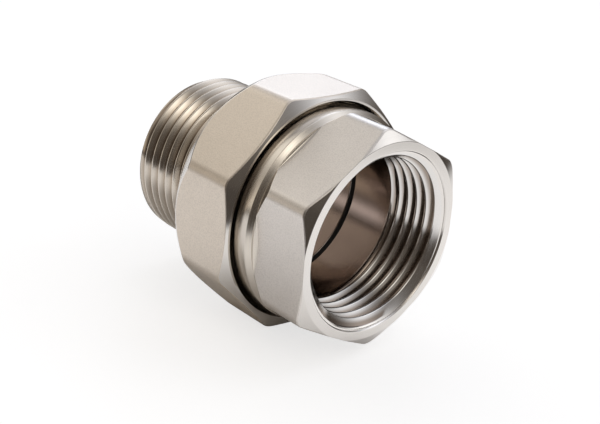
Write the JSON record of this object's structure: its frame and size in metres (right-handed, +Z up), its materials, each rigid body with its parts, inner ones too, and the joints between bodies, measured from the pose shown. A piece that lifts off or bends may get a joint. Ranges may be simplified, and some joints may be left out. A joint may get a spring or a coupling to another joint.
{
  "type": "tube union",
  "caption": "Straight pipe union with a threaded male tail, a captive octagonal nut, a hexagonal body with a female thread, and a flat seal.",
  "frame": {"origin": "on the surface the nut rests on, under the middle of the fitting's length and width", "axes": "+X along the waterway towards the female mouth, +Z up through the nut's top flat"},
  "size_m": [0.0414, 0.036, 0.036],
  "materials": {
    "plated_turned": "nickel plated, turned, glossy",
    "plated_nut": "nickel plated, forged, satin",
    "plated_body": "nickel plated, forged, satin",
    "seal_rubber": "matt black"
  },
  "bodies": {
    "tailpiece": {"tailpiece": "plated_turned", "seal_ring": "seal_rubber"},
    "union_nut": {"union_nut": "plated_nut"},
    "female_body": {"female_body": "plated_body"}
  },
  "joints": [
    {"name": "nut_turn", "type": "hinge", "parent": "tailpiece", "child": "union_nut", "pos_m": [0, 0, 0.018], "axis": [-1, 0, 0], "range_deg": [0, 810]},
    {"name": "body_draw", "type": "slide", "parent": "tailpiece", "child": "female_body", "axis": [1, 0, 0], "range_m": [0, 0.00337]}
  ],
  "couplings": [
    {"joint": "body_draw", "follows": "nut_turn", "m_per_rad": 0.00023873}
  ]
}
